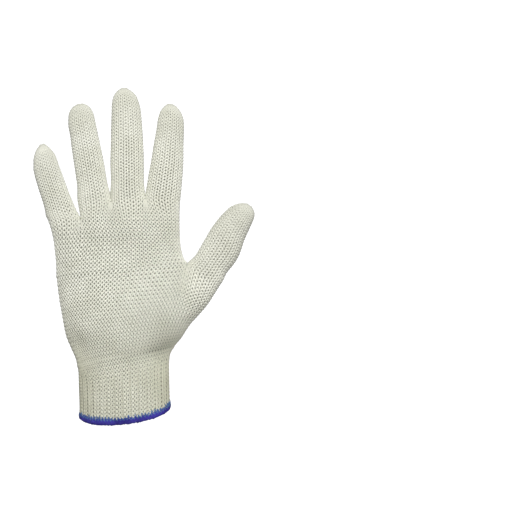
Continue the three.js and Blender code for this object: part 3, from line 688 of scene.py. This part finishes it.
five_part = {
    "top": [FAR_EDGE, INDEX_THUMB, THUMB_OUTER],
    "bottom": [at(-0.398, -0.05), at(0.410, 0.05)], "web": THUMB_WEB, "height": 60 * MM,
    "lean": 0.025, "gather": 0.12,
    "edges": table(EDGE_COLUMNS, [
        (down, left * PALM_WIDTH, right * PALM_WIDTH) for down, left, right in [
            (0.00, -0.553, 0.747), (0.15, -0.547, 0.704), (0.27, -0.536, 0.671),
            (0.39, -0.524, 0.629), (0.52, -0.507, 0.577), (0.64, -0.492, 0.528),
            (0.76, -0.472, 0.490), (0.88, -0.436, 0.455), (1.00, -0.398, 0.410),
            (1.10, -0.384, 0.405)]]),
    "rings": [(four_part, 0, 0.8), ("thumb", 0.8, 1)], "courses": 22}

hand_sections = table("up front back square", [
    (0.00, 0.76, 0.76, 2.0), (0.10, 0.73, 0.71, 2.0), (0.25, 0.64, 0.60, 2.1),
    (0.45, 0.55, 0.50, 2.3), (0.65, 0.49, 0.44, 2.4), (0.85, 0.43, 0.41, 2.5),
    (1.10, 0.38, 0.39, 2.6)])

# The ball of the thumb, the far edge's pad, the hollow of the palm, the pads under the fingers,
# the waist in front of the cuff, and on the back the thumb's root and the knuckles.
SWELLING_COLUMNS = "face across up wide tall rise"
swellings = [dict(zip(SWELLING_COLUMNS.split(), row)) for row in [
    (-1, 0.30, 0.36, 0.24, 0.24, 0.28), (-1, -0.30, 0.30, 0.18, 0.30, 0.10),
    (-1, -0.04, 0.62, 0.22, 0.22, -0.12), (-1, -0.08, 0.92, 0.42, 0.10, 0.08),
    (-1, 0.31, -0.02, 0.14, 0.10, -0.15), (-1, -0.34, 0.05, 0.10, 0.08, -0.11),
    (-1, -0.02, -0.06, 0.60, 0.12, -0.08),
    (1, 0.42, 0.42, 0.24, 0.22, 0.12), (1, -0.44, 0.84, 0.10, 0.10, 0.06),
    (1, -0.21, 0.92, 0.10, 0.10, 0.09), (1, 0.02, 0.96, 0.10, 0.10, 0.11),
    (1, 0.27, 0.92, 0.11, 0.10, 0.09)]]


def oval(share, half, depth, power):
    """Half an oval walked at an even pace, from its left end to its right end."""
    angle = np.pi * (1 - np.arange(97) / 96)
    power = power[:, None]
    across = np.sign(np.cos(angle)) * np.abs(np.cos(angle)) ** (2 / power)
    out = np.maximum(np.sin(angle), 0) ** (2 / power)
    steps = np.hypot(np.diff(across) * half[:, None], np.diff(out) * depth[:, None])
    length = np.concatenate([np.zeros((len(share), 1)), np.cumsum(steps, axis=1)], axis=1)
    wanted = share * length[:, -1]
    i = np.clip((length < wanted[:, None]).sum(axis=1), 1, 96)
    row = np.arange(len(share))
    s = np.clip((wanted - length[row, i - 1]) / (length[row, i] - length[row, i - 1]), 0, 1)
    return mix(across[row, i - 1], across[row, i], s), mix(out[row, i - 1], out[row, i], s)


def spread(share, most):
    """Gives the wales in the middle more room than those at the sides."""
    return share - most * np.sin(2 * np.pi * share) / (2 * np.pi)


def swelled(face, x, z):
    """How far the swellings of one face stand out at a place."""
    rise = 0
    for swelling in swellings:
        if swelling["face"] == face:
            beside = (x / PALM_WIDTH - swelling["across"]) / swelling["wide"]
            above = ((z - CUFF_TOP) / HAND_LENGTH - swelling["up"]) / swelling["tall"]
            rise = rise + swelling["rise"] * PALM_DEPTH * np.exp(-beside**2 - above**2)
    return rise


def plain_section(part, face, share, down):
    """The hand's own oval section, before the stalls pull at it: x, y of its middle, z, depth."""
    share = spread(share, part["gather"] * ease(down))
    top_left, top_right = part["top"][0], part["top"][-1]
    bottom_left, bottom_right = part["bottom"]
    left = value_at(part["edges"], "down", "left", down) + FABRIC_MIDDLE
    right = value_at(part["edges"], "down", "right", down) - FABRIC_MIDDLE
    left_z = mix(top_left[1], bottom_left[1], down)
    right_z = mix(top_right[1], bottom_right[1], down)
    up = (mix(left_z, right_z, share) - CUFF_TOP) / HAND_LENGTH
    depth = value_at(hand_sections, "up", "front" if face < 0 else "back", up) * PALM_DEPTH
    depth = depth - FABRIC_MIDDLE
    across, out = oval(share, (right - left) / 2, depth,
                       value_at(hand_sections, "up", "square", up))
    x = (left + right) / 2 + (right - left) / 2 * across
    z = mix(left_z, right_z, (across + 1) / 2)
    top_y = mix(chord_y(top_left), chord_y(top_right), share)
    if part is five_part:
        y = THUMB_FORWARD * ease(2 * share - 0.7) * (1 - down)
    else:
        y = mix(top_y, 0.22 * THUMB_FORWARD * share if part is four_part else top_y, down)
    return x, y, z, depth * out + swelled(face, x, z) * np.minimum(out * 1.6, 1)


def ring_section(ring, face, share):
    """The ring that stands on the top of a part: a stall's base, or the part above."""
    if isinstance(ring, dict):
        return hand_section(ring, face, share, np.ones_like(share))
    base = base_of(stalls[ring])
    angle = np.pi * (1 - share)
    flat = base["middle"] + base["across"] * (np.cos(angle) * base["half"])[..., None]
    y = mix(base["y_left"], base["y_right"], (np.cos(angle) + 1) / 2)
    return flat[..., 0], y, flat[..., 1], np.sin(angle) * base["depth"]


def row_rise(share, most=ROW_SAG):
    """How much the rows sag towards the far edge, so that they rise towards the thumb."""
    return -most * np.clip(1 - share, 0, 1) ** 1.4


def hand_section(part, face, share, down):
    """The hand's surface. A ring's own shape fades out below it: at once and round in the
    crotches, slowly in the middle of a finger."""
    x, y, z, depth = (np.zeros_like(share) for _ in range(4))
    share = share - part["lean"] * np.sin(np.pi * share) * np.clip(down, 0, 1) ** 2
    for index, (ring, start, stop) in enumerate(part["rings"]):
        last = index == len(part["rings"]) - 1
        here = (share >= start) & ((share < stop) | last)
        if not here.any():
            continue
        u, d = share[here], down[here]
        s = (u - start) / (stop - start)
        plain = plain_section(part, face, u, d)
        top = plain_section(part, face, u, 0 * d)
        wanted = ring_section(ring, face, s)
        ends = [(ring_section(ring, face, np.full(1, end)),
                 plain_section(part, face, np.full(1, place), np.zeros(1)))
                for end, place in ((0.0, start), (1.0, stop))]
        pull = [mix(ends[0][0][k] - ends[0][1][k], ends[1][0][k] - ends[1][1][k], s)
                for k in (0, 2)]
        own = [wanted[k] - top[k] - pull[i] for i, k in enumerate((0, 2))]
        below = d * part["height"]
        radius = part["web"]
        soft = 1 - ease(below / (1.8 * radius))
        near = np.clip(1 - below / (radius - FABRIC_MIDDLE), 0, 1)
        web = 1 - np.sqrt(1 - near**2)
        sideways = np.sin(np.pi * s)
        outer = np.where(s < 0.5, index == 0, last)
        crotch = np.where(outer, 0, (1 - sideways) ** 0.5)
        keep = mix(soft, web, crotch)
        slow = np.clip(1 - d, 0, 1) ** 1.5
        x[here] = plain[0] + pull[0] * slow + own[0] * soft
        z[here] = plain[2] + pull[1] * slow + own[1] * soft
        depth[here] = mix(plain[3], wanted[3], keep)
        y[here] = mix(plain[1], wanted[1], soft)
    return x, y, z, depth


def hand_field(part, wales):
    """A step of the hand as a field of points, its palm side first."""
    rows = part["courses"] * CELLS + 1
    count = 2 * wales * CELLS
    place = np.arange(count) / (wales * CELLS)
    field = np.zeros((rows, count, 3))
    for face, here in ((-1, place <= 1), (1, place > 1)):
        share = np.where(place <= 1, place, 2 - place)[here]
        down = np.arange(rows) / (rows - 1)
        grid_share, grid_down = np.meshgrid(share, down)
        if part is four_part:
            grid_down -= row_rise(grid_share) / part["height"] * ease(grid_down)
        if part is five_part:
            rise = mix(row_rise(grid_share / 0.8), row_rise(grid_share, WRIST_SAG), grid_down)
            grid_down -= rise / part["height"]
        x, y, z, depth = hand_section(part, face, grid_share.ravel(), grid_down.ravel())
        points = np.stack([x, y + face * depth, z], axis=-1)
        field[:, here] = points.reshape(rows, -1, 3)
    return field


hand_gauge = {"wale": 2.84 * MM, "depth": 0.46 * MM, "yarn": 0.44 * MM, "overlap": 0.29,
              "tall": 0.62, "most": 1.4, "flat": 1.15, "painted_shade": 0.07, "cotton": cotton}
three_field = hand_field(three_part, 3 * FINGER_WALES)
four_field = hand_field(four_part, 4 * FINGER_WALES)
five_field = hand_field(five_part, 5 * FINGER_WALES)
# Wales that have just come down from a stall settle into the hand's gauge from here on. The
# others have done so for some courses already.
for section, field, wales, courses, fresh, old in (
        ("knuckles", three_field, 6 * FINGER_WALES, (0, 5), (0, 1), 0),
        ("palm", four_field, 8 * FINGER_WALES, (0, 13), (0, 0.25), 5),
        ("thumb_root", five_field, 10 * FINGER_WALES, (0, 11), (0.8, 1), 17),
        ("heel", five_field, 10 * FINGER_WALES, (11, 22), (0.8, 1), 17)):
    share = 1 - np.abs(1 - np.arange(wales) * 2 / wales)
    grown = np.where((share >= fresh[0]) & (share <= fresh[1]), 0, old)[:, None]
    gauge = dict(hand_gauge, after=finger_gauge, grown=grown)
    knitted("knit_" + section, field, wales, courses, "hand", gauge)
    cloth_back("back_" + section, field, courses, "hand")

# Tacks: where two stalls meet on the back, a few short stitches of a yellowish thread close the
# small hole that the joining leaves.
TACK_RADIUS = 0.3 * MM
tack_thread = thread_material("tack_thread", linear(232, 214, 168), linear(206, 184, 134), 0.5)


def crotch_tack(name, part, share):
    """Stitches over the back of a crotch, side by side down the cloth."""
    stitches, points = 4, 8
    place = np.arange(stitches * points) / points
    across = share + 0.9 * MM / (2.2 * PALM_WIDTH) * 2 * np.cos(2 * np.pi * place)
    down = (1.2 * MM + 0.75 * MM * place) / part["height"]
    x, y, z, depth = hand_section(part, 1, across, down)
    proud = (0.75 + 0.55 * np.sin(2 * np.pi * place)) * MM
    path = np.stack([x, y + depth + proud, z], axis=-1)
    normal = np.tile([0.0, 1.0, 0.0], (len(path), 1))
    piece = thread_mesh(name, path[None], normal[None], np.full((1, len(path)), TACK_RADIUS),
                        tack_thread, closed=False)
    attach(piece, "root")
    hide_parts("hand")


crotch_tack("tack_ring_middle", three_part, 1 / 3)
crotch_tack("tack_middle_index", three_part, 2 / 3)
crotch_tack("tack_little_ring", four_part, 0.25)

# Cuff: the same yarn and the same wales, knitted in ribs over an elastic thread: two plain
# wales stand out, and the third, a purl one, is drawn in between them, so it holds the wrist.
CUFF_WIDTH = 65 * MM
CUFF_DEPTH = 45 * MM
HEM_HEIGHT = 4.4 * MM
RIM_RISE_ACROSS = 0.095
RIM_RISE_DEPTH = 0.27
RIM_CURVE = 0.02
CUFF_COURSES = 16
TOP_SLOPE = 0.14
RIB_HOLLOW = 0.45 * MM
cuff_rings = table("up shift wide deep", [
    (0.00, -0.002, 0.985, 1.00), (0.20, -0.004, 0.985, 1.00), (0.50, -0.011, 0.990, 0.99),
    (0.80, -0.022, 1.010, 0.97), (0.92, -0.026, 1.040, 0.96), (1.00, -0.027, 1.076, 0.95),
    (1.12, -0.020, 1.170, 0.93)])


def cuff_oval(turn, up, inset, gathered=0.0):
    """x and y of the cuff: turn 0 to 1 goes round it from its left side over the palm side."""
    half = value_at(cuff_rings, "up", "wide", up) * CUFF_WIDTH / 2 - inset
    depth = value_at(cuff_rings, "up", "deep", up) * CUFF_DEPTH / 2 - inset
    turn = turn % 1
    share = 1 - np.abs(1 - 2 * turn)
    share = spread(share - five_part["lean"] * np.sin(np.pi * share), gathered)
    flat = [np.broadcast_to(a, share.shape).ravel() for a in (share, half, depth)]
    across, out = (a.reshape(share.shape) for a in oval(*flat, np.full(share.size, 2.0)))
    x = value_at(cuff_rings, "up", "shift", up) * CUFF_WIDTH + half * across
    return x, np.where(turn < 0.5, -1, 1) * depth * out


def rim_height(x, y):
    """The height of the cuff's lower edge."""
    side = x / (CUFF_WIDTH / 2)
    return RIM_RISE_ACROSS * x + RIM_RISE_DEPTH * y + RIM_CURVE * x * side


def cuff_field():
    """The cuff as a field of points, with its ribs drawn together below its first courses."""
    wales = 10 * FINGER_WALES
    rows = CUFF_COURSES * CELLS + 1
    wale, down = np.meshgrid(np.arange(wales * CELLS) / CELLS, np.arange(rows) / (rows - 1))
    drawn_in = ease(down / 0.3)
    in_rib = wale % 3
    ribbed = np.interp(in_rib, [0, 1, 2, 3], [0, 1.25, 2.50, 3])
    turn = (wale - in_rib + mix(in_rib, ribbed, drawn_in)) / wales
    hollow = np.exp(-((mix(in_rib, ribbed, drawn_in) - 2.75) / 0.42) ** 2)
    inset = FABRIC_MIDDLE + drawn_in * (RIB_HOLLOW * hollow - 0.1 * MM)
    rim_x, rim_y = cuff_oval(turn, 0 * down, FABRIC_MIDDLE)
    low = rim_height(rim_x, rim_y) + 0.4 * HEM_HEIGHT
    share = 1 - np.abs(1 - 2 * turn % 2)
    z = mix(CUFF_TOP + TOP_SLOPE * rim_x + row_rise(share, WRIST_SAG), low, down)
    x, y = cuff_oval(turn, z / CUFF_TOP, inset, five_part["gather"] * (1 - ease(down / 0.4)))
    palm_side = np.clip(-y / (CUFF_DEPTH / 2) * 1.6, 0, 1)
    return np.stack([x, y - swelled(-1, x, z) * palm_side, z], axis=-1)


rib_gauge = {"wale": 1.9 * MM, "depth": 0.55 * MM, "yarn": 0.40 * MM, "overlap": 0.25,
             "tall": 0.68, "most": 1.15, "flat": 1.1, "painted_shade": 0.0, "purl": [2], "purl_from": 3,
             "after": hand_gauge, "cotton": cotton}
rib_field = cuff_field()
knitted("knit_rib_cuff", rib_field, 10 * FINGER_WALES, (0, CUFF_COURSES),
        "rib_cuff", rib_gauge)
cloth_back("back_rib_cuff", rib_field, (0, CUFF_COURSES), "rib_cuff")

# Hem: the raw edge of the cuff is overlocked with two bulky sewing threads. A violet-blue one
# wraps it closely at a slant, and a lighter one crosses it above and bites into the knit.
HEM_STITCHES = 74
violet_thread = thread_material("violet_blue_thread", linear(78, 70, 193), linear(20, 12, 98),
                                1.0, 1.2, glossy=True)
blue_thread = thread_material("blue_thread", linear(108, 150, 194), linear(34, 60, 140),
                              1.0, 1.2, glossy=True)


def around_the_hem(turn, level, out):
    """Points round the hem: level is the height above its lower edge, out is how far they
    stand out from the middle of the cloth. At the left end the hem is rolled in and lower."""
    rolled = np.exp(-((0.5 - np.abs(0.5 - turn % 1)) / 0.035) ** 2)
    level = level * (1 - 0.4 * rolled)
    x, y = cuff_oval(turn, 0 * turn, FABRIC_MIDDLE - out)
    rim_x, rim_y = cuff_oval(turn, 0 * turn, FABRIC_MIDDLE)
    rim = rim_height(rim_x, rim_y)
    middle = np.stack([rim_x, rim_y, rim + HEM_HEIGHT / 2], axis=-1)
    path = np.stack([x, y, rim + level], axis=-1)
    return path, unit(path - middle)


def hem_piece(name, path, normal, radii, material, flat):
    """One thread of the hem, as a closed ring."""
    piece = thread_mesh(name, path[None], normal[None], radii[None], material, flat=flat)
    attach(piece, "root")
    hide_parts("overlock_hem")


def wrapping_thread():
    """Three wraps to a stitch; the last of them reaches higher."""
    points = 14
    count = 3 * HEM_STITCHES * points
    wrap = np.arange(count) // points
    angle = 2 * np.pi * np.arange(count) / points
    uneven = np.clip(random.normal(0, 1, (2, 3 * HEM_STITCHES)), -1.6, 1.6)[:, wrap]
    reach = np.where(wrap % 3 == 2, 0.9, 0.0) * MM + 0.34 * MM * uneven[0]
    sag = np.where(wrap % 3 == 1, 0.3, 0.0) * MM + 0.16 * MM * uneven[1]
    level = (HEM_HEIGHT * (0.47 + 0.44 * np.cos(angle)) + reach * np.cos(angle / 2) ** 8
             - sag * np.sin(angle / 2) ** 8)
    slant = 0.55 * (level - HEM_HEIGHT / 2) / (2.7 * CUFF_WIDTH)
    turn = np.arange(count) / count + slant + 0.0004 * uneven[1]
    out = (1.25 + 0.15 * (wrap % 3 == 1) + 0.08 * uneven[0]) * MM * np.sin(angle)
    path, normal = around_the_hem(turn, level, out)
    radii = 0.40 * MM * (1 + 0.12 * np.sin(2 * angle) + 0.06 * uneven[1])
    hem_piece("hem_wrap", path, normal, radii, violet_thread, 1.35)


def crossing_thread():
    """One tooth to a stitch: up into the knit, down at a slant, and on to the next."""
    points = 12
    count = HEM_STITCHES * points
    part = np.arange(count) % points / points
    stitch = np.arange(count) // points
    uneven = random.normal(0, 1, HEM_STITCHES)[stitch]
    bends = [0, 0.3, 0.45, 0.6, 1]
    level = np.interp(part, bends, [2.9, 5.0, 5.9, 4.6, 2.9]) * MM
    level = level + 0.85 * MM * np.clip(uneven, -1.8, 0.9) * (level > 4 * MM)
    ahead = np.interp(part, bends, [0, 0.05, 0.22, 0.38, 1.0])
    out = np.interp(part, bends, [1.55, 1.15, 0.75, 1.1, 1.55]) * MM
    path, normal = around_the_hem((stitch + ahead) / HEM_STITCHES, level, out)
    radii = 0.27 * MM * (1 + 0.15 * np.roll(uneven, points))
    hem_piece("hem_cross", path, normal, radii, blue_thread, 1.2)


wrapping_thread()
crossing_thread()
